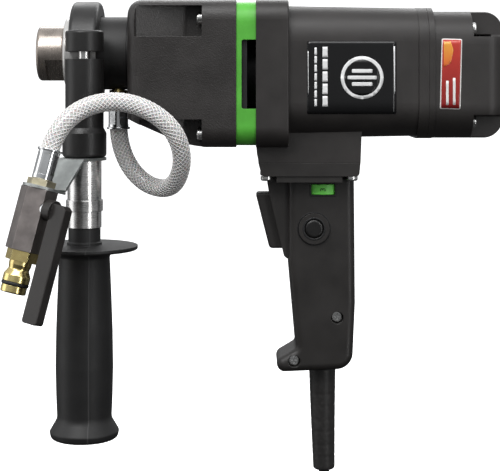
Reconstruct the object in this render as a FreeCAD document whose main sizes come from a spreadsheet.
import FreeCAD, Part
import math
import os

import Sketcher
from FreeCAD import Placement, Rotation, Vector

# Hand-held wet core drill.  Millimetres, +Z up.  The origin is the centre of the
# spindle's front face, +X runs back along the spindle towards the motor, and the
# water valve and the clamp's bosses are on the -Y side.  Lengths along X are drawn
# from a point ahead of that face, and each node is placed back by the distance.

DIMENSIONS = [
    ("nose_face", 3.0, "front face of the spindle, where the origin is"),
    ("spindle_nose", 20.0, "radius of the spindle's nose"),
    ("spindle_shaft", 10.0, "radius of the spindle behind the nose"),
    ("spindle_thread", 9.3, "radius of the G1/2 female thread's crests"),
    ("neck_radius", 26.5, "radius of the clamping collar, 53 mm across"),
    ("neck_front", 23.0, "front end of the collar"),
    ("neck_bore", 21.0, "bore for the bearings and seals"),
    ("case_front", 70.8, "front wall of the gear case"),
    ("case_rear", 147.4, "joint of the gear case and the air ring"),
    ("case_half", 48.0, "half the width of the gear case"),
    ("case_top", 37.0, "top of the gear case"),
    ("case_bottom", -67.0, "bottom of the gear case"),
    ("case_corner", 14.0, "corner radius of the gear case"),
    ("core_half", 44.0, "half the width inside the gear case"),
    ("core_waist", 28.0, "half the width between the screw columns"),
    ("core_top", 33.0, "inside top of the gear case"),
    ("core_bottom", -63.0, "inside bottom of the gear case"),
    ("core_upper", 14.0, "underside of the upper screw columns"),
    ("core_lower", -48.0, "top of the lower screw columns"),
    ("ring_rear", 161.3, "joint of the air ring and the motor housing"),
    ("flange_rear", 184.3, "rear of the motor housing's flange"),
    ("barrel_half", 45.0, "half the width of the motor housing"),
    ("barrel_top", 33.8, "top of the motor housing"),
    ("barrel_bottom", -61.5, "bottom of the motor housing"),
    ("seam", 282.6, "joint of the motor housing and the rear cap"),
    ("cap_rear", 337.3, "rear face of the rear cap"),
    ("motor_drop", 14.3, "motor axis below the spindle axis"),
    ("stator_radius", 39.9, "radius of the stator"),
    ("screw_head", 4.4, "radius of a pan head"),
    ("screw_shank", 2.5, "radius of an M5 screw"),
    ("handle_axis", 40.5, "side handle axis, along X"),
    ("handle_side", -37.0, "side handle axis, along Y"),
    ("sleeve_radius", 12.0, "radius of the steel sleeve"),
    ("grip_radius", 20.2, "largest radius of the side grip"),
    ("guard_radius", 37.5, "radius of the grip's hand guard"),
    ("foot_line", -78.2, "parting line of the foot"),
    ("foot_bottom", -87.8, "underside of the foot"),
    ("foot_half", 33.0, "half the width of the foot"),
    ("grip_half", 21.0, "half the width of the pistol grip"),
    ("skirt_half", 14.5, "half the width of the trigger skirt"),
    ("shell_wall", 3.0, "wall of the pistol grip's shells"),
    ("hose_radius", 6.5, "outside radius of the water hose"),
]

doc = FreeCAD.newDocument("core_drill")
sheet = doc.addObject("Spreadsheet::Sheet", "dims")
for row, (alias, amount, note) in enumerate(DIMENSIONS, start=1):
    sheet.set("A%d" % row, note)
    sheet.set("B%d" % row, str(amount))
    sheet.setAlias("B%d" % row, alias)
doc.recompute()

SIZES = {alias: float(sheet.get(alias)) for alias, _, _ in DIMENSIONS}
NODES = []
DATUM = Placement(Vector(-SIZES["nose_face"], 0, 0), Rotation())

INTERMEDIATE = (22.83, -21.7)          # intermediate shaft axis, along Y and Z
INLET = 60.8                           # water inlet under the neck, along X
CASE_SCREWS = [(y, z) for y in (-36, 36) for z in (24, -57.5)]
CAP_SCREWS = [(y, z) for y in (-31, 31) for z in (17, -49)]
FOOT_SCREWS = [(x, y) for x in (169, 229.5) for y in (-26, 26)]
GRIP_SCREWS = [(219.7, -190.0), (188.8, -221.3)]


# ---- helpers ---------------------------------------------------------------

def number(words):
    """The value of a sum of numbers and sheet names, such as 'seam - 4'."""
    total, sign = 0.0, 1
    for word in str(words).split():
        if word in "+-":
            sign = -1 if word == "-" else 1
        else:
            total += sign * (SIZES[word] if word in SIZES else float(word))
            sign = 1
    return total


def bind(thing, path, words):
    """Set a property to a sum, as an expression where it names the sheet."""
    named = [word for word in str(words).split() if word in SIZES]
    if named:
        parts = ["dims." + w if w in SIZES else w for w in str(words).split()]
        thing.setExpression(path, " ".join(parts))
    return number(words)


def new_body(label, place=None):
    body = doc.addObject("PartDesign::Body", label)
    body.Label = label
    body.Placement = DATUM.multiply(place or Placement())
    NODES.append(body)
    return body


def new_sketch(body, role="XZ_Plane", offset=0):
    """A sketch on one of the body's own planes, moved along the plane's normal."""
    sketch = body.newObject("Sketcher::SketchObject", body.Name + "_sketch")
    plane = next(p for p in body.Origin.OriginFeatures if p.Role == role)
    sketch.AttachmentSupport = [(plane, "")]
    sketch.MapMode = "FlatFace"
    distance = bind(sketch, "AttachmentOffset.Base.z", offset)
    sketch.AttachmentOffset = Placement(Vector(0, 0, distance), Rotation())
    return sketch


def hold(sketch, kind, *where):
    """Add a constraint whose last entry is a sum of numbers and sheet names."""
    words = where[-1]
    index = sketch.addConstraint(Sketcher.Constraint(kind, *where[:-1], number(words)))
    bind(sketch, "Constraints[%d]" % index, words)


def hold_point(sketch, geometry, end, x, y):
    hold(sketch, "DistanceX", -1, 1, geometry, end, x)
    hold(sketch, "DistanceY", -1, 1, geometry, end, y)


def rounded_corner(before, at, after, radius):
    """Start, middle and end of the arc that rounds one corner."""
    u = (before - at).normalize()
    v = (after - at).normalize()
    half = math.acos(max(-1.0, min(1.0, u.dot(v)))) / 2
    centre = at + (u + v).normalize() * (radius / math.sin(half))
    reach = radius / math.tan(half)
    middle = centre + (at - centre).normalize() * radius
    return at + u * reach, middle, at + v * reach


def outline(sketch, corners):
    """A closed outline; a corner is x, y and, where it is rounded, a radius."""
    count = len(corners)
    points = [Vector(number(c[0]), number(c[1]), 0) for c in corners]
    arcs = []
    for i, corner in enumerate(corners):
        if len(corner) > 2:
            arcs.append(rounded_corner(points[i - 1], points[i], points[(i + 1) % count],
                                       number(corner[2])))
        else:
            arcs.append((points[i], None, points[i]))
    lines = []
    for i in range(count):
        side = Part.LineSegment(arcs[i][2], arcs[(i + 1) % count][0])
        lines.append(sketch.addGeometry(side, False))
    for i, corner in enumerate(corners):
        before, after = lines[i - 1], lines[i]
        start, middle, end = arcs[i]
        if middle is None:
            sketch.addConstraint(Sketcher.Constraint("Coincident", before, 2, after, 1))
            hold_point(sketch, after, 1, corner[0], corner[1])
            continue
        turns_left = (middle - start).cross(end - start).z > 0
        ends = (start, end) if turns_left else (end, start)
        arc = sketch.addGeometry(Part.Arc(ends[0], middle, ends[1]), False)
        first, second = (1, 2) if turns_left else (2, 1)
        sketch.addConstraint(Sketcher.Constraint("Tangent", before, 2, arc, first))
        sketch.addConstraint(Sketcher.Constraint("Tangent", arc, second, after, 1))
        tip = sketch.addGeometry(Part.Point(points[i]), True)
        sketch.addConstraint(Sketcher.Constraint("PointOnObject", tip, 1, before))
        sketch.addConstraint(Sketcher.Constraint("PointOnObject", tip, 1, after))
        hold(sketch, "Radius", arc, corner[2])
        hold_point(sketch, tip, 1, corner[0], corner[1])
    return sketch


def circles(sketch, centres, radius):
    for x, y in centres:
        disc = Part.Circle(Vector(number(x), number(y), 0), Vector(0, 0, 1), number(radius))
        index = sketch.addGeometry(disc, False)
        hold(sketch, "Radius", index, radius)
        hold_point(sketch, index, 3, x, y)
    return sketch


def rectangle(x0, x1, y0, y1, radius=None):
    ends = [(x0, y0), (x1, y0), (x1, y1), (x0, y1)]
    return [end + (radius,) for end in ends] if radius else ends


def extrude(body, sketch, length, reverse=False, both=False, taper=0):
    pad = body.newObject("PartDesign::Pad", body.Name + "_pad")
    pad.Profile = sketch
    pad.Length = bind(pad, "Length", length)
    pad.Reversed = reverse
    pad.TaperAngle = taper
    if both:
        pad.SideType = "Symmetric"
    doc.recompute()
    return pad


def cut(body, sketch, length, reverse=False, both=False):
    """Cut a pocket and make sure that it took something away."""
    before = body.Shape.Volume
    pocket = body.newObject("PartDesign::Pocket", body.Name + "_pocket")
    pocket.Profile = sketch
    pocket.Length = bind(pocket, "Length", length)
    pocket.Reversed = reverse
    if both:
        pocket.SideType = "Symmetric"
    doc.recompute()
    if not body.Shape.Volume < before - 1e-3:
        raise RuntimeError("%s cuts nothing" % pocket.Name)
    return pocket


def turn(body, corners, axis="X"):
    """Revolve an outline of (along, radius) corners about the body's X or Z axis."""
    if axis == "Z":
        corners = [(c[1], c[0]) + tuple(c[2:]) for c in corners]
    sketch = outline(new_sketch(body), corners)
    solid = body.newObject("PartDesign::Revolution", body.Name + "_turn")
    solid.Profile = sketch
    solid.ReferenceAxis = (sketch, ["H_Axis" if axis == "X" else "V_Axis"])
    solid.Angle = 360
    doc.recompute()
    return solid


def tube(start, end, inner, outer, edge=0):
    """Profile of a ring, with its outside edges rounded."""
    if edge:
        return [(start, inner), (start, outer, edge), (end, outer, edge), (end, inner)]
    return [(start, inner), (start, outer), (end, outer), (end, inner)]


def round_edges(body, radius, chosen, kind="PartDesign::Fillet"):
    """Round the edges of the body's tip for which chosen(edge) is true."""
    base = body.Tip
    names = ["Edge%d" % (i + 1) for i, edge in enumerate(base.Shape.Edges) if chosen(edge)]
    fillet = body.newObject(kind, body.Name + "_round")
    fillet.Base = (base, names)
    if kind == "PartDesign::Fillet":
        fillet.Radius = radius
    else:
        fillet.Size = radius
    doc.recompute()
    return fillet


def on_plane(axis, level):
    """A test for edges that lie in a plane across one axis."""
    def test(edge):
        box = edge.BoundBox
        low, high = getattr(box, axis + "Min"), getattr(box, axis + "Max")
        return abs(low - level) < 0.01 and abs(high - level) < 0.01
    return test


def at(x=0, y=0, z=0, rotation=None):
    return Placement(Vector(number(x), number(y), number(z)), rotation or Rotation())


def feature(label, shape, place=None):
    """A piece whose shape is made by Part's own functions."""
    piece = doc.addObject("Part::Feature", label)
    piece.Label = label
    piece.Shape = shape
    piece.Placement = DATUM.multiply(place or Placement())
    NODES.append(piece)
    return piece


def cross_outline(clear=0):
    """Inside of the gear case, between its four screw columns."""
    half, waist = "core_half - %g" % clear, "core_waist - %g" % clear
    top, upper = "core_top - %g" % clear, "core_upper - %g" % clear
    bottom, lower = "core_bottom + %g" % clear, "core_lower + %g" % clear
    right = [(half, upper, 4), (waist, upper, 3), (waist, top, 4)]
    low_right = [(waist, bottom, 4), (waist, lower, 3), (half, lower, 4)]
    left = [(negative(x), z, r) for x, z, r in reversed(low_right + right)]
    return right + left + low_right


def negative(words):
    """The sum with every sign changed."""
    swapped = []
    sign_given = False
    for word in str(words).split():
        if word in "+-":
            swapped.append("-" if word == "+" else "+")
            sign_given = True
        else:
            if not sign_given:
                swapped.append("-")
            swapped.append(word)
            sign_given = False
    return " ".join(swapped)


def pan_screw(length, head=4.0, shank=None):
    """A cross-recessed pan screw along +X from its head, as one solid."""
    radius = number("screw_head")
    body = Part.makeCylinder(number(shank or "screw_shank"), length, Vector(head, 0, 0), Vector(1, 0, 0))
    cap = Part.makeCylinder(radius, head, Vector(0, 0, 0), Vector(1, 0, 0))
    cap = cap.makeFillet(1.4, [e for e in cap.Edges if e.BoundBox.XMax < 0.01])
    screw = cap.fuse(body)
    for width, depth in ((1.2, 4.6), (4.6, 1.2)):
        slot = Part.makeBox(1.8, width, depth, Vector(-0.1, -width / 2, -depth / 2))
        screw = screw.cut(slot)
    return screw


def placed(shape, place):
    copy = shape.copy()
    copy.Placement = place
    return copy


# ---- gears -------------------------------------------------------------------

PRESSURE = math.radians(25)
ADDENDUM = 0.8                        # in modules, the stub that a small pinion needs
DEDENDUM = 1.05


def gear_shape(module, teeth, width, bore, turned):
    """An involute spur gear along +X, with a tooth's middle at the angle turned."""
    pitch = module * teeth / 2
    base = pitch * math.cos(PRESSURE)
    tip = pitch + ADDENDUM * module
    root = pitch - DEDENDUM * module
    flank_turn = math.tan(PRESSURE) - PRESSURE
    half_tooth = math.pi / 2 / teeth - 0.05 * module / pitch + flank_turn

    def flank(radius):
        """Angle from the tooth's middle to its flank."""
        if radius <= base:
            return half_tooth
        opened = math.acos(base / radius)
        return half_tooth - (math.tan(opened) - opened)

    steps = 4
    start = max(base, root)
    radii = [start + (tip - start) * i / steps for i in range(steps + 1)]
    if root < base:
        radii = [root] + radii
    points = []
    for tooth in range(teeth):
        middle = turned + 2 * math.pi * tooth / teeth
        rising = [(r, middle - flank(r)) for r in radii]
        falling = [(r, middle + flank(r)) for r in reversed(radii)]
        points += rising + falling
    corners = [Vector(0, r * math.cos(a), r * math.sin(a)) for r, a in points]
    disc = Part.Face(Part.makePolygon(corners + corners[:1]))
    solid = disc.extrude(Vector(width, 0, 0))
    if bore:
        hole = Part.makeCylinder(bore, width, Vector(0, 0, 0), Vector(1, 0, 0))
        solid = solid.cut(hole)
    return solid


def shaft_shape(steps):
    """A stepped round shaft along +X from (start, end, radius) steps."""
    pieces = [Part.makeCylinder(r, b - a, Vector(a, 0, 0), Vector(1, 0, 0)) for a, b, r in steps]
    solid = pieces[0]
    for piece in pieces[1:]:
        solid = solid.fuse(piece)
    return solid.removeSplitter()


MESH_OUTPUT = math.atan2(INTERMEDIATE[1], INTERMEDIATE[0])
MESH_MOTOR = math.atan2(INTERMEDIATE[1] + number("motor_drop"), INTERMEDIATE[0])


# ---- spindle and neck ----------------------------------------------------------

def make_spindle():
    body = new_body("spindle", Placement(Vector(), Vector(1, 0, 0), 52))
    turn(body, [
        ("nose_face", "spindle_thread"), ("nose_face", "spindle_nose", 2.6),
        (22.4, "spindle_nose", 1), (22.4, 12.5), (30, 12.5), (30, "spindle_shaft"),
        (122, "spindle_shaft"), (122, 7.5), (133.5, 7.5), (133.5, 0), (66, 0), (66, 5),
        ("nose_face + 17", 5), ("nose_face + 17", "spindle_thread"),
    ])
    flats = new_sketch(body, "YZ_Plane", 9.8)
    outline(flats, rectangle(16, 24, -24, 24))
    cut(body, flats, 16, reverse=True)
    flats = new_sketch(body, "YZ_Plane", 9.8)
    outline(flats, rectangle(-24, -16, -24, 24))
    cut(body, flats, 16, reverse=True)
    port = circles(new_sketch(body, "XY_Plane"), [(INLET, 0)], 2.5)
    cut(body, port, 40, both=True)


def make_neck():
    body = new_body("neck")
    turn(body, [
        ("neck_front", 13), ("neck_front", "neck_radius", 2.6), ("case_front - 2.2", "neck_radius"),
        ("case_front - 2.2", "neck_radius - 0.6"), ("case_front", "neck_radius - 0.6"), ("case_front", 25),
        (75.9, 25), (75.9, "neck_bore"), (30, "neck_bore"), (30, 13),
    ])
    port = circles(new_sketch(body, "XY_Plane"), [(INLET, 0)], 5)
    cut(body, port, 40)


def ring_solid(start, end, inner, outer, y=0, z=0):
    """A ball bearing's outline: a ring with a groove between its races on each face."""
    base = Part.makeCylinder(outer, end - start, Vector(start, y, z), Vector(1, 0, 0))
    base = base.cut(Part.makeCylinder(inner, end - start, Vector(start, y, z), Vector(1, 0, 0)))
    third = (outer - inner) / 3
    for face in (start, end - 0.6):
        outer_groove = Part.makeCylinder(outer - third, 0.6, Vector(face, y, z), Vector(1, 0, 0))
        inner_groove = Part.makeCylinder(inner + third, 0.6, Vector(face, y, z), Vector(1, 0, 0))
        base = base.cut(outer_groove.cut(inner_groove))
    return base


def make_bearings_and_seals():
    y, z = INTERMEDIATE
    drop = -number("motor_drop")
    feature("spindle_bearings", Part.makeCompound([
        ring_solid(30.1, 42, 10.02, 20.98),
        ring_solid(125, 132.9, 7.52, 15.98)]))
    feature("intermediate_bearings", Part.makeCompound([
        ring_solid(77.1, 84, 4.02, 10.98, y, z),
        ring_solid(145.1, 151.9, 4.02, 10.98, y, z)]))
    feature("armature_bearings", Part.makeCompound([
        ring_solid(152.6, 162.4, 6.02, 15.98, 0, drop),
        ring_solid(292.1, 299, 4.02, 10.98, 0, drop)]))
    feature("water_seals", Part.makeCompound([
        ring_solid(46, 53, 10.05, 20.98),
        ring_solid(68, 75, 10.05, 20.98)]))


def make_gears():
    y, z = INTERMEDIATE
    drop = -number("motor_drop")
    pitch_turn = 2 * math.pi
    feature("output_gear", gear_shape(1.5, 31, 16, 10.02, MESH_OUTPUT), at(104))
    pinion = gear_shape(1.5, 11, 18, 0, MESH_OUTPUT + math.pi + pitch_turn / 22)
    pinion.translate(Vector(103, 0, 0))
    shaft = shaft_shape([(77.5, 84.5, 4), (84.5, 103, 6.6), (121, 134.5, 6.6),
                         (134.5, 144.4, 6), (144.4, 151.5, 4)])
    feature("intermediate_shaft", shaft.fuse(pinion), at(0, y, z))
    wheel = gear_shape(1.0, 39, 8.5, 6.02, MESH_MOTOR + math.pi)
    feature("intermediate_gear", wheel, at(135, y, z))
    pinion = gear_shape(1.0, 9, 9, 0, MESH_MOTOR + pitch_turn / 18)
    pinion.translate(Vector(135, 0, 0))
    shaft = shaft_shape([(144, 152.5, 5.5), (152.5, 291.5, 6), (291.5, 300, 4)])
    feature("armature_shaft", shaft.fuse(pinion), at(0, 0, drop))


# ---- gear case -------------------------------------------------------------------

def make_gear_case():
    body = new_body("gear_housing")
    sketch = new_sketch(body, "YZ_Plane", "case_front")
    outline(sketch, rectangle("- case_half", "case_half", "case_bottom", "case_top", "case_corner"))
    extrude(body, sketch, "case_rear - case_front")
    round_edges(body, 10, on_plane("X", number("case_front")))
    chin = outline(new_sketch(body), [(50, -36.6), (114.6, "case_bottom", 63), (150, "case_bottom"),
                                      (150, -90), (50, -90)])
    cut(body, chin, 120, both=True)
    for side in (1, -1):
        for start, top, depth in ((76.5, 32.8, 21.8), (80, -47, 40)):
            recess = new_sketch(body, "XY_Plane", top)
            ramp = [(start, 44.5, 2), (112, 31, 8), (123.5, 31), (123.5, 60), (start, 60)]
            ramp = [(corner[0], corner[1] * side) + corner[2:] for corner in ramp]
            outline(recess, ramp if side > 0 else ramp[::-1])
            cut(body, recess, depth)
    hollow = outline(new_sketch(body, "YZ_Plane", "case_rear"), cross_outline())
    cut(body, hollow, "case_rear - 124.7")
    wide, narrow = "core_half", "27"
    hollow = new_sketch(body, "YZ_Plane", 125)
    outline(hollow, [("- " + wide, -43, 4), (wide, -43, 4), (wide, 7, 4), (narrow, 7), (narrow, 32, 4),
                     ("- " + narrow, 32, 4), ("- " + narrow, 7), ("- " + wide, 7, 4)])
    cut(body, hollow, 49)
    cut(body, circles(new_sketch(body, "YZ_Plane", 80), [(0, 0)], 25.03), 20)
    boss = circles(new_sketch(body, "YZ_Plane", 76), [INTERMEDIATE], 14.5)
    extrude(body, boss, 8)
    cut(body, circles(new_sketch(body, "YZ_Plane", 84), [INTERMEDIATE], 11), 7)
    cut(body, circles(new_sketch(body, "YZ_Plane", 85), [INTERMEDIATE], 6), 12)
    cut(body, circles(new_sketch(body, "YZ_Plane", 110), CASE_SCREWS, 2.6), 50, reverse=True)


def make_middle_plate():
    """Carries the rear of the spindle, inside the gear case."""
    body = new_body("middle_plate")
    sketch = outline(new_sketch(body, "YZ_Plane", 125), cross_outline(0.05))
    extrude(body, sketch, 8)
    cut(body, circles(new_sketch(body, "YZ_Plane", 140), [(0, 0)], 16), 20)
    cut(body, circles(new_sketch(body, "YZ_Plane", 140), [INTERMEDIATE], 10.5), 20)


def make_bearing_plate():
    """Closes the gear case and carries the front of the armature."""
    motor = (0, "- motor_drop")
    body = new_body("bearing_plate")
    sketch = outline(new_sketch(body, "YZ_Plane", 145), cross_outline(0.05))
    extrude(body, sketch, 10)
    hub = circles(new_sketch(body, "YZ_Plane", 154), [motor], 25.5)
    extrude(body, hub, 8.5)
    cut(body, circles(new_sketch(body, "YZ_Plane", 163), [motor], 16), 10.5)
    cut(body, circles(new_sketch(body, "YZ_Plane", 155), [motor], 7), 20)
    cut(body, circles(new_sketch(body, "YZ_Plane", 140), [INTERMEDIATE], 11), 12, reverse=True)


def make_air_ring():
    body = new_body("air_ring")
    sketch = new_sketch(body, "YZ_Plane", "case_rear")
    half = "case_half - 1"
    outline(sketch, rectangle(negative(half), half, "case_bottom + 1.3", "case_top - 1.6", "case_corner"))
    extrude(body, sketch, "ring_rear - case_rear")
    hollow = outline(new_sketch(body, "YZ_Plane", "ring_rear + 1"), cross_outline())
    cut(body, hollow, 20)
    window = outline(new_sketch(body), [(151.2, -39.6, 1.5), (170, -39.6), (170, 8.7), (151.2, 8.7, 1.5)])
    cut(body, window, 120, both=True)
    cut(body, circles(new_sketch(body, "YZ_Plane", 140), CASE_SCREWS, 2.6), 50, reverse=True)


def make_case_screws():
    shapes = [placed(pan_screw(42), at(119.5, y, z)) for y, z in CASE_SCREWS]
    feature("gear_case_screws", Part.makeCompound(shapes))


# ---- motor -------------------------------------------------------------------------

def make_motor_housing():
    motor = (0, "- motor_drop")
    body = new_body("motor_housing")
    sketch = new_sketch(body, "YZ_Plane", "ring_rear")
    outline(sketch, rectangle("- case_half", "case_half", "case_bottom", "case_top", "case_corner"))
    extrude(body, sketch, "flange_rear - ring_rear")
    round_edges(body, 1.2, on_plane("X", number("flange_rear")))
    barrel = new_sketch(body, "YZ_Plane", "ring_rear + 5")
    outline(barrel, rectangle("- barrel_half", "barrel_half", "barrel_bottom", "barrel_top", 26))
    extrude(body, barrel, "seam - ring_rear - 5", taper=-1.0)
    lip = new_sketch(body, "YZ_Plane", "seam - 6.9")
    half = "barrel_half - 0.8"
    outline(lip, rectangle(negative(half), half, "barrel_bottom + 0.2", "barrel_top - 1.7", 25))
    extrude(body, lip, 6.9)
    foot = outline(new_sketch(body), [(161.5, -55), (161.5, -66), (162, -72), (163.4, "foot_line"),
                                      (235.4, "foot_line"), (236.2, -55)])
    extrude(body, foot, "foot_half + foot_half", both=True)
    cut(body, circles(new_sketch(body, "YZ_Plane", "seam + 1"), [motor], 40), 130)
    windings = circles(new_sketch(body, "YZ_Plane", 160), [motor], 43)
    cut(body, windings, 20, reverse=True)
    cut(body, circles(new_sketch(body, "YZ_Plane", 160), CASE_SCREWS, 2.6), 24, reverse=True)
    cut(body, circles(new_sketch(body, "YZ_Plane", "seam + 1"), CAP_SCREWS, 2.1), 16.5)
    cut(body, circles(new_sketch(body, "XY_Plane", -100), FOOT_SCREWS, 2.1), 34, reverse=True)


def make_armature():
    body = new_body("armature_core", at(0, 0, "- motor_drop"))
    turn(body, tube(195, 255, 6.02, 23.4))
    slot = new_sketch(body, "YZ_Plane", 194)
    outline(slot, rectangle(-1.2, 1.2, 14, 25))
    pocket = cut(body, slot, 62, reverse=True)
    pattern = body.newObject("PartDesign::PolarPattern", "armature_slots")
    pattern.Originals = [pocket]
    pattern.Axis = (slot, ["N_Axis"])
    pattern.Angle = 360
    pattern.Occurrences = 14
    body.Tip = pattern
    doc.recompute()
    body = new_body("commutator", at(0, 0, "- motor_drop"))
    turn(body, [(262, 6.02), (262, 16), (265, 16), (265, 14), (282, 14), (282, 6.02)])


def make_stator():
    body = new_body("stator_core", at(0, 0, "- motor_drop"))
    turn(body, tube(195, 255, 24.2, "stator_radius"))
    window = new_sketch(body, "YZ_Plane", 194)
    outline(window, [(-26, -15), (26, -15), (26, 15), (-26, 15)])
    cut(body, window, 62, reverse=True)
    ends = []
    for start in (187, 255.5):
        for side in (1, -1):
            coil = Part.makeCylinder(37, 7.5, Vector(start, 0, 0), Vector(1, 0, 0))
            coil = coil.cut(Part.makeCylinder(25, 7.5, Vector(start, 0, 0), Vector(1, 0, 0)))
            keep = Part.makeBox(7.5, 80, 40, Vector(start, -40, 1 if side > 0 else -41))
            ends.append(coil.common(keep))
    feature("field_coils", Part.makeCompound(ends), at(0, 0, "- motor_drop"))


def make_fan():
    """A one-sided radial fan in front of the motor."""
    body = new_body("fan", at(0, 0, "- motor_drop"))
    turn(body, [(165, 6.02), (165, 13), (174, 13), (174, 38), (176, 38), (176, 6.02)])
    blade = new_sketch(body, "YZ_Plane", 166)
    outline(blade, [(11, 0), (24, 5), (36.5, 16), (35.5, 17.4), (23, 6.8), (11, 2)])
    pad = extrude(body, blade, 9)
    pattern = body.newObject("PartDesign::PolarPattern", "fan_blades")
    pattern.Originals = [pad]
    pattern.Axis = (blade, ["N_Axis"])
    pattern.Angle = 360
    pattern.Occurrences = 11
    body.Tip = pattern
    doc.recompute()


def make_brushes():
    drop = -number("motor_drop")
    plate = Part.makeCylinder(37.5, 3, Vector(284, 0, 0), Vector(1, 0, 0))
    plate = plate.cut(Part.makeCylinder(18, 3, Vector(284, 0, 0), Vector(1, 0, 0)))
    carrier = plate
    brushes, springs = [], []
    for side in (1, -1):
        box = Part.makeBox(16, 20, 12, Vector(268, 16 if side > 0 else -36, -6))
        bore = Part.makeBox(10, 24, 8, Vector(269, 14 if side > 0 else -38, -4))
        carrier = carrier.fuse(box.cut(bore))
        start = 14.05 if side > 0 else -30.05
        brushes.append(Part.makeBox(9.9, 16, 7.9, Vector(269.05, start, -3.95)))
        roll = Part.makeCylinder(2.8, 6, Vector(271, 33.1 * side, 0), Vector(1, 0, 0))
        roll = roll.fuse(Part.makeBox(6, 2.4, 0.8, Vector(271, 33.1 * side - 1.2, -3.5)))
        springs.append(roll.cut(Part.makeCylinder(1.9, 6, Vector(271, 33.1 * side, 0), Vector(1, 0, 0))))
    axis = at(0, 0, drop)
    feature("brush_carrier", carrier, axis)
    feature("brushes", Part.makeCompound(brushes), axis)
    feature("brush_springs", Part.makeCompound(springs), axis)


def make_rear_cap():
    motor = (0, "- motor_drop")
    body = new_body("rear_cap")
    sketch = new_sketch(body, "YZ_Plane", "seam")
    outline(sketch, rectangle("- barrel_half + 1.8", "barrel_half - 1.8", "barrel_bottom + 0.6",
                              "barrel_top - 4.3", 24))
    extrude(body, sketch, "cap_rear - seam")
    round_edges(body, 13, on_plane("X", number("cap_rear")))
    lip = new_sketch(body, "YZ_Plane", "seam + 0.15")
    half = "barrel_half - 0.8"
    outline(lip, rectangle(negative(half), half, "barrel_bottom + 0.2", "barrel_top - 1.7", 25))
    extrude(body, lip, 4)
    cut(body, circles(new_sketch(body, "YZ_Plane", "seam - 1"), [motor], 37.6), 47, reverse=True)
    boss = circles(new_sketch(body, "YZ_Plane", 292), [motor], 15)
    extrude(body, boss, 40)
    web = new_sketch(body, "YZ_Plane", 304)
    outline(web, rectangle(-39, 39, -18, -10.6))
    extrude(body, web, 26)
    cut(body, circles(new_sketch(body, "YZ_Plane", 291), [motor], 11), 8.1, reverse=True)
    cut(body, circles(new_sketch(body, "YZ_Plane", 299), [motor], 5), 4, reverse=True)
    for side in (-1, 1):
        for low, high in ((11, 40), (-80, -44)):
            corner = new_sketch(body, "YZ_Plane", 314)
            ends = sorted((26 * side, 60 * side))
            outline(corner, rectangle(ends[0], ends[1], low, high, 2))
            cut(body, corner, 40, reverse=True)
    for level in (12, 5, -2, -26.6, -33.6, -40.6):
        slot = new_sketch(body, "YZ_Plane", 328)
        outline(slot, rectangle(-22, 22, level - 1.6, level + 1.6, 1.5))
        cut(body, slot, 20, reverse=True)
    cut(body, circles(new_sketch(body, "YZ_Plane", 319), CAP_SCREWS, 2.1), 50)


def make_cap_screws():
    turned = Rotation(Vector(0, 0, 1), 180)
    shapes = [placed(pan_screw(46, 3.4, 2), at(317.4, y, z, turned)) for y, z in CAP_SCREWS]
    feature("rear_cap_screws", Part.makeCompound(shapes))


# ---- pistol grip ---------------------------------------------------------------------

GRIP_OUTLINE = [
    (184.8, -86), (184.8, -150), (190.2, -212.0, 3), (175.9, -220.6, 5.6), (177.3, -229.5, 5.6),
    (230.6, -227.2, 12), (232.7, -180), (231.9, -86),
]
SKIRT_OUTLINE = [(168.3, -86), (170.6, -100), (182, -148.3, 4), (192, -148.3), (192, -86)]
TRIGGER_SLOT = [(164, -99.3), (192.6, -99.3), (192.6, -144), (168, -144)]


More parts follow.
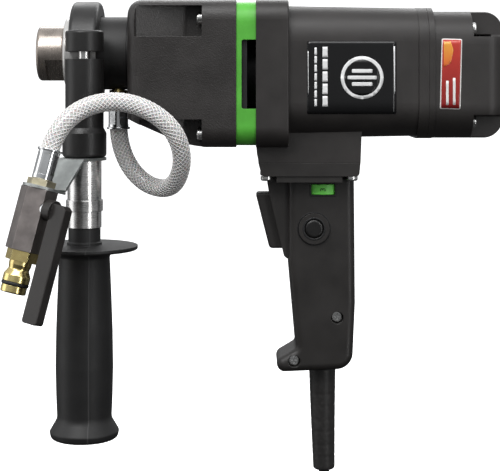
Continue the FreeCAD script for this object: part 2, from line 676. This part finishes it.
def make_shell(label, side):
    """One half of the pistol grip; side is -1 for the half with the dial and the button."""
    near = side < 0
    body = new_body(label)
    extrude(body, outline(new_sketch(body), GRIP_OUTLINE), "grip_half", reverse=not near)
    level = number("grip_half") * side
    round_edges(body, 5.3, on_plane("Y", level))
    extrude(body, outline(new_sketch(body), SKIRT_OUTLINE), "skirt_half", reverse=not near)
    top = "foot_line - 0.05"
    flange = outline(new_sketch(body), [(163, top), (165.4, "foot_bottom", 2.5),
                                        (234.4, "foot_bottom", 2.5), (235.3, top)])
    extrude(body, flange, "foot_half", reverse=not near)
    middle = outline(new_sketch(body), [(176, -85), (176, -92.2), (222.5, -92.2), (222.5, -85)])
    extrude(body, middle, "foot_half - 1", reverse=not near)
    cavity = outline(new_sketch(body), [(188.2, -76), (188.2, -150), (193.4, -213), (188, -217, 1),
                                        (188, -224.9), (226, -223.4, 6), (229, -180), (228.4, -76)])
    cut(body, cavity, "grip_half - shell_wall", reverse=near)
    cut(body, outline(new_sketch(body), TRIGGER_SLOT), 9.3, reverse=near)
    for x, z in GRIP_SCREWS:
        pillar = circles(new_sketch(body), [(x, z)], 5.6)
        extrude(body, pillar, "grip_half - 1.5", reverse=not near)
        cut(body, circles(new_sketch(body), [(x, z)], 1.6), "grip_half - 3", reverse=near)
        if near:
            cut(body, circles(new_sketch(body, offset=12), [(x, z)], 4.5), 12, reverse=True)
            cut(body, circles(new_sketch(body), [(x, z)], 2.1), 20, reverse=True)
    cable = new_sketch(body, "XY_Plane", -240)
    cut(body, circles(cable, [(210, 0)], 7.6), 30, reverse=True)
    groove = new_sketch(body, "XY_Plane", -224.2)
    circles(groove, [(210, 0)], 10.2)
    cut(body, groove, 14, reverse=True)
    if near:
        collar = new_sketch(body, offset="grip_half - 0.5")
        circles(collar, [(203, -126)], 11.1)
        extrude(body, collar, 2.2)
        cut(body, circles(new_sketch(body, offset=12), [(203, -126)], 6.9), 14, reverse=True)
        relief = outline(new_sketch(body, offset=12), rectangle(198.8, 220.2, -102.6, -93.4, 0.6))
        cut(body, relief, 7.5, reverse=True)
        dial = outline(new_sketch(body, offset=12), rectangle(200.9, 218.1, -102.1, -93.9, 0.6))
        cut(body, dial, 24, reverse=True)
    screws = [(x, y) for x, y in FOOT_SCREWS if y * side > 0]
    cut(body, circles(new_sketch(body, "XY_Plane", -100), screws, 2.1), 34, reverse=True)


def make_grip_details():
    down = Rotation(Vector(0, 1, 0), -90)
    shapes = [placed(pan_screw(20, 3.2, 2), at(x, y, -91.3, down)) for x, y in FOOT_SCREWS]
    feature("foot_screws", Part.makeCompound(shapes))
    across = Rotation(Vector(0, 0, 1), 90)
    shapes = [placed(pan_screw(24, 3.0, 1.5), at(x, -15.1, z, across)) for x, z in GRIP_SCREWS]
    feature("grip_screws", Part.makeCompound(shapes))

    body = new_body("trigger")
    profile = [(161, -101.4, 2), (176.5, -101.4), (185.3, -141.6), (171.2, -141.6, 3)]
    extrude(body, outline(new_sketch(body), profile), 18, both=True)
    round_edges(body, 1.5, lambda edge: edge.BoundBox.XMax < 172 and edge.BoundBox.YLength < 0.01
                and edge.Length > 20)

    body = new_body("lock_button")
    sketch = circles(new_sketch(body, offset=13), [(203, -126)], 6.8)
    extrude(body, sketch, 10)
    round_edges(body, 2, on_plane("Y", -23))

    body = new_body("speed_dial", at(209.5, -8.6))
    turn(body, [(-101.7, 3), (-101.7, 13.6, 0.6), (-94.3, 13.6, 0.6), (-94.3, 3)], "Z")
    body = new_body("dial_pin", at(209.5, -8.6))
    turn(body, [(-102.2, 0), (-102.2, 2.95), (-93.4, 2.95), (-93.4, 0)], "Z")

    body = new_body("switch_body")
    extrude(body, outline(new_sketch(body), rectangle(193, 224, -140, -104, 2)), 20, both=True)
    body = new_body("control_module")
    extrude(body, outline(new_sketch(body), rectangle(199, 226, -180, -148, 2)), 22, both=True)

    body = new_body("cable_guard", at(210))
    turn(body, [(-303.4, 4.3), (-303.4, 7.6, 0.8), (-229, 9.7), (-229, 7.4), (-224.1, 7.4),
                (-224.1, 10), (-217.8, 10), (-217.8, 4.3)], "Z")
    body = new_body("mains_cable", at(210))
    turn(body, [(-324, 0), (-324, 4), (-196, 4), (-196, 0)], "Z")
    clamp = Part.makeBox(16, 12, 5, Vector(202, -6, -214))
    clamp = clamp.cut(Part.makeCylinder(4.02, 10, Vector(210, 0, -216)))
    feature("cable_clamp", clamp)


# ---- side handle -----------------------------------------------------------------------

HINGE = (40.5, 33.5, 0.0)              # far-side hinge of the clamp's jaws


def neck_bore(clear):
    return Part.makeCylinder(number("neck_radius") + clear, 40, Vector(20, 0, 0), Vector(1, 0, 0))


def jaw_blank(low, high):
    """The clamp ring between two levels, bored for the neck."""
    ring = Part.makeCylinder(37.6, 20.6, Vector(28.2, 0, 0), Vector(1, 0, 0))
    ring = ring.makeFillet(3.5, ring.Edges[0:1] + ring.Edges[2:3])
    ring = ring.cut(neck_bore(0.06))
    window = Part.makeBox(23, 100, high - low, Vector(28, -50, low))
    return ring.common(window)


def vertical(radius, low, high):
    """A cylinder on the side handle's axis."""
    foot = Vector(number("handle_axis"), number("handle_side"), low)
    return Part.makeCylinder(radius, high - low, foot)


def make_clamp():
    bore = neck_bore(0.06)
    loose = neck_bore(0.7)
    x, y, z = HINGE
    pin_hole = Part.makeCylinder(2.55, 40, Vector(20, y, z), Vector(1, 0, 0))

    boss = vertical(13.5, 0.6, 15.4)
    boss = boss.makeFillet(2, [e for e in boss.Edges if e.BoundBox.ZMin > 15])
    upper = jaw_blank(0.6, 40).fuse(boss).cut(loose)
    knuckle = Part.makeCylinder(5, 9, Vector(35, y, z), Vector(1, 0, 0))
    upper = upper.cut(Part.makeCylinder(5.4, 7.3, Vector(27.9, y, z), Vector(1, 0, 0)))
    upper = upper.cut(Part.makeCylinder(5.4, 7.3, Vector(43.8, y, z), Vector(1, 0, 0)))
    upper = upper.fuse(knuckle.cut(loose)).cut(pin_hole).cut(vertical(4.4, -1, 10))
    feature("clamp_upper_jaw", largest(upper))

    lower_boss = vertical(13.5, -53, -4.7)
    cone = Part.makeCone(15.5, 13.5, 3.8, Vector(number("handle_axis"), number("handle_side"), -56.8))
    collar = vertical(15.5, -73.8, -56.8)
    collar = collar.makeFillet(2.5, [e for e in collar.Edges if e.BoundBox.ZMax < -73])
    lower = jaw_blank(-40, -4.7).fuse(lower_boss).fuse(cone).fuse(collar).cut(bore)
    for start in (28, 44.1):
        ear = Part.makeCylinder(5, 6.9, Vector(start, y, z), Vector(1, 0, 0))
        arm = Part.makeBox(6.9, 9, 9, Vector(start, y - 5.5, -9))
        lower = lower.fuse(ear.fuse(arm).cut(bore))
    lower = lower.cut(Part.makeCylinder(5.4, 9.4, Vector(34.8, y, z), Vector(1, 0, 0)))
    lower = lower.cut(pin_hole).cut(vertical(4.4, -80, 0))
    feature("clamp_lower_jaw", largest(lower))

    body = new_body("clamp_hinge_pin", at(0, y, z))
    turn(body, [(28.2, 0), (28.2, 2.5, 0.4), (50.8, 2.5, 0.4), (50.8, 0)])


def largest(shape):
    """The biggest solid of a boolean's result."""
    return max(shape.Solids, key=lambda solid: solid.Volume)


def make_side_handle():
    place = at("handle_axis", "handle_side")
    body = new_body("handle_rod", place)
    turn(body, [(-150, 0), (-150, 4), (9, 4), (9, 0)], "Z")
    body = new_body("handle_sleeve", place)
    turn(body, [(-123, 4.4), (-123, "sleeve_radius"), (-111.6, "sleeve_radius"), (-111.6, 13, 0.4),
                (-103.6, 13, 0.4), (-103.6, "sleeve_radius"), (-76.1, "sleeve_radius"), (-76.1, 4.4)], "Z")
    body = new_body("side_grip", place)
    turn(body, [
        (-123.2, 4.05), (-123.2, 11.3, 0.6), (-133, 11.3), (-133.6, 12.2), (-135.4, 12.2),
        (-135.9, "guard_radius", 0.2), (-138.6, "guard_radius", 1.2), (-141.5, 19, 3), (-144, 17.8, 2),
        (-170, 18.9), (-195, 19.8), (-220, "grip_radius"), (-240, 19.8), (-257, 19.1, 8),
        (-266, 24.4, 2), (-271, 23.4, 3),
        (-271.6, 0), (-150.2, 0), (-150.2, 4.05)], "Z")


# ---- water feed ---------------------------------------------------------------------------

VALVE_DOWN = Vector(-0.235, -0.13, -0.963)
VALVE_TAB = Vector(16.5, -83.0, -91.5)  # middle of the bracket's tab, on the valve's axis
STEM_TURN = -30.0                       # the stem's angle from +X towards +Y


def valve_place():
    """The valve's own frame: +Z up its axis, +X along its stem."""
    up = (VALVE_DOWN * -1).normalize()
    angle = math.radians(STEM_TURN)
    stem = Vector(math.cos(angle), math.sin(angle), 0)
    side = up.cross(stem).normalize()
    return Placement(VALVE_TAB, Rotation(side.cross(up), side, up, "ZYX"))


def hexagon(flats):
    """Corners of a hexagon with a flat across +X."""
    reach = flats / math.sqrt(3)
    return [(reach * math.cos(math.radians(30 + 60 * i)), reach * math.sin(math.radians(30 + 60 * i)))
            for i in range(6)]


def prism(body, flats, low, high):
    sketch = outline(new_sketch(body, "XY_Plane", low), hexagon(flats))
    return extrude(body, sketch, high - low)


def drill(body, radius, low, high):
    cut(body, circles(new_sketch(body, "XY_Plane", high), [(0, 0)], radius), high - low)


def make_ferrule(label, place, height):
    """A crimped hose ferrule, its mouth with a rolled lip at the top."""
    body = new_body(label, place)
    turn(body, [(0, 4), (0, 7.4, 0.5), (height - 1.6, 7.4), (height - 1.6, 8.5, 0.5), (height, 8.5, 0.5),
                (height, 6.75), (2.5, 6.75), (2.5, 4)], "Z")
    for turned in range(6):
        sketch = new_sketch(body, "XY_Plane", 3.5)
        angle = math.radians(60 * turned)
        corners = [(7.08, -4), (9, -4), (9, 4), (7.08, 4)]
        outline(sketch, [(x * math.cos(angle) - y * math.sin(angle),
                          x * math.sin(angle) + y * math.cos(angle)) for x, y in corners])
        cut(body, sketch, height - 7, reverse=True)


def make_valve():
    place = valve_place()
    stem_level = -13.5

    def shifted(distance):
        return place.multiply(at(0, 0, distance))

    body = new_body("hose_tail", place)
    prism(body, 17, 1.1, 5.2)
    extrude(body, circles(new_sketch(body, "XY_Plane", 5), [(0, 0)], 3.9), 16)
    extrude(body, circles(new_sketch(body, "XY_Plane", 1.2), [(0, 0)], 5.9), 7, reverse=True)
    drill(body, 2.5, -10, 30)
    make_ferrule("valve_ferrule", shifted(5.4), 21)

    body = new_body("valve_body", place)
    prism(body, 22, -43.4, -1.1)
    drill(body, 6, -6.2, 0)
    drill(body, 4, -50, -6)
    drill(body, 7.05, -50, -37)
    pocket = new_sketch(body, "YZ_Plane", -6)
    cut(body, circles(pocket, [(0, stem_level)], 7.05), 30, reverse=True)

    ball = Part.makeSphere(6.3, Vector(0, 0, stem_level))
    plug = Part.makeCylinder(7, 7, Vector(3.9, 0, stem_level), Vector(1, 0, 0))
    plug = plug.fuse(Part.makeCylinder(4.5, 4, Vector(10.5, 0, stem_level), Vector(1, 0, 0)))
    core = ball.common(Part.makeBox(9.8, 20, 20, Vector(-5.4, -10, stem_level - 10))).fuse(plug)
    core = core.cut(Part.makeCylinder(3.9, 20, Vector(0, 0, stem_level - 10)))
    feature("valve_ball", core, place)

    body = new_body("valve_lever", place)
    hub = circles(new_sketch(body, "YZ_Plane", 11.3), [(0, stem_level)], 7.2)
    extrude(body, hub, 6)
    side_view = [(16, -8.5), (25.5, -8.5), (28.5, -11), (28.5, -88, 2), (16, -88, 2)]
    bar = outline(new_sketch(body), side_view)
    extrude(body, bar, 8, both=True)
    round_edges(body, 0.6, lambda edge: edge.BoundBox.ZLength > 40)
    cut(body, circles(new_sketch(body, "YZ_Plane", 11), [(0, stem_level)], 4.52), 3.6, reverse=True)

    body = new_body("hose_plug", place)
    turn(body, [(-43.5, 4), (-43.5, 7), (-38, 7), (-38, 4)], "Z")
    prism(body, 19, -50.5, -43.5)
    neck = new_sketch(body)
    outline(neck, [(0, -50), (7.6, -50), (7.6, -53, 1), (6.9, -56, 2), (9.1, -60, 1), (9.1, -64.4),
                   (7.3, -64.4), (7.3, -67), (8.6, -67), (8.6, -72, 1), (0, -72)])
    turned = body.newObject("PartDesign::Revolution", "plug_nose")
    turned.Profile = neck
    turned.ReferenceAxis = (neck, ["V_Axis"])
    turned.Angle = 360
    doc.recompute()
    drill(body, 4, -80, -30)
    body = new_body("plug_o_ring", place)
    turn(body, [(-66.9, 7.4), (-66.9, 9.2, 0.9), (-64.5, 9.2, 0.9), (-64.5, 7.4)], "Z")


def make_bracket():
    """A bent plate from the sleeve's top down to the valve's tab."""
    place = valve_place()
    washer = vertical(15.5, -75.9, -74.0)
    anchor = Vector(number("handle_axis"), number("handle_side"), -74.95)
    reach = VALVE_TAB - anchor
    level = Vector(reach.x, reach.y, 0).normalize()
    across = Vector(-level.y, level.x, 0)
    fold = anchor + level * 21

    inward = place.Rotation.inverted().multVec(level * -1)
    turned = math.degrees(math.atan2(inward.y, inward.x))
    tab = Part.makeBox(15, 22, 1.9, Vector(0, -11, -0.95))
    tab = tab.fuse(Part.makeCylinder(12, 1.9, Vector(0, 0, -0.95)))
    tab.Placement = place.multiply(Placement(Vector(), Vector(0, 0, 1), turned))
    edge = tab.Placement.multVec(Vector(14.6, 0, 0))

    def strip(start, end, width_start, width_end, thick=1.9):
        """A flat tapered strip between two points."""
        normal = (end - start).cross(across).normalize()
        corners = [start + across * width_start, start - across * width_start,
                   end - across * width_end, end + across * width_end]
        corners = [corner - normal * thick / 2 for corner in corners]
        return Part.Face(Part.makePolygon(corners + corners[:1])).extrude(normal * thick)

    plate = washer.fuse(strip(anchor, fold + level * 0.5, 15.5, 14))
    plate = plate.fuse(strip(fold, edge, 14, 11)).fuse(tab)
    hole = Part.makeCylinder(6.0, 20, Vector(0, 0, -10))
    hole.Placement = place
    feature("valve_bracket", largest(plate.cut(hole).cut(vertical(4.4, -90, -60))))


def make_inlet():
    place = at(INLET)
    body = new_body("inlet_nipple", place)
    turn(body, [(-52, 2.5), (-52, 3.9), (-34.2, 3.9), (-34.2, 6.6), (-26.7, 6.6), (-26.7, 4.95),
                (-21.2, 4.95), (-21.2, 2.5)], "Z")
    down = Rotation(Vector(1, 0, 0), 180)
    make_ferrule("inlet_ferrule", at(INLET, 0, -34.4, down), 21)


def make_hose():
    """The braided hose, looped from the inlet round to the valve."""
    top = valve_place().multVec(Vector(0, 0, 8.2))
    up = (VALVE_DOWN * -1).normalize()
    points = [
        Vector(INLET, 0, -37.2), Vector(INLET, 0, -46), Vector(INLET + 0.2, 0, -55.5),
        Vector(67, -3, -78), Vector(81, -9, -93.6), Vector(96, -20, -97), Vector(106.6, -38, -87.6),
        Vector(109.6, -53, -70.5), Vector(104, -61, -54.5), Vector(90, -64, -41.8), Vector(68, -66, -34.6),
        Vector(46, -70, -38), Vector(31, -76, -49.5), top + up * 18.2, top + up * 9, top]
    path = Part.BSplineCurve()
    path.interpolate(points)
    spine = Part.Wire(path.toShape())

    def sweep(radius):
        section = Part.Wire(Part.makeCircle(radius, points[0], path.tangent(path.FirstParameter)[0]))
        shell = Part.BRepOffsetAPI.MakePipeShell(spine)
        shell.setFrenetMode(False)
        shell.add(section)
        shell.build()
        shell.makeSolid()
        return shell.shape()

    feature("water_hose", sweep(number("hose_radius")).cut(sweep(4.0)))


# ---- build -----------------------------------------------------------------------------------

def check_document():
    for thing in doc.Objects:
        if {"Invalid", "Error"} & set(thing.State):
            raise RuntimeError("%s did not build" % thing.Label)
    for node in NODES:
        if node.Shape.isNull() or not node.Shape.isValid() or not node.Shape.Solids:
            raise RuntimeError("%s has no valid solid" % node.Label)


make_spindle()
make_neck()
make_bearings_and_seals()
make_gears()
make_gear_case()
make_middle_plate()
make_bearing_plate()
make_air_ring()
make_case_screws()
make_motor_housing()
make_armature()
make_stator()
make_fan()
make_brushes()
make_rear_cap()
make_cap_screws()
make_shell("grip_shell_left", -1)
make_shell("grip_shell_right", 1)
make_grip_details()
make_clamp()
make_side_handle()
make_valve()
make_bracket()
make_inlet()
make_hose()
doc.recompute()
check_document()

os.makedirs("parts", exist_ok=True)
for node in NODES:
    node.Shape.exportStep("parts/%s.step" % node.Label)
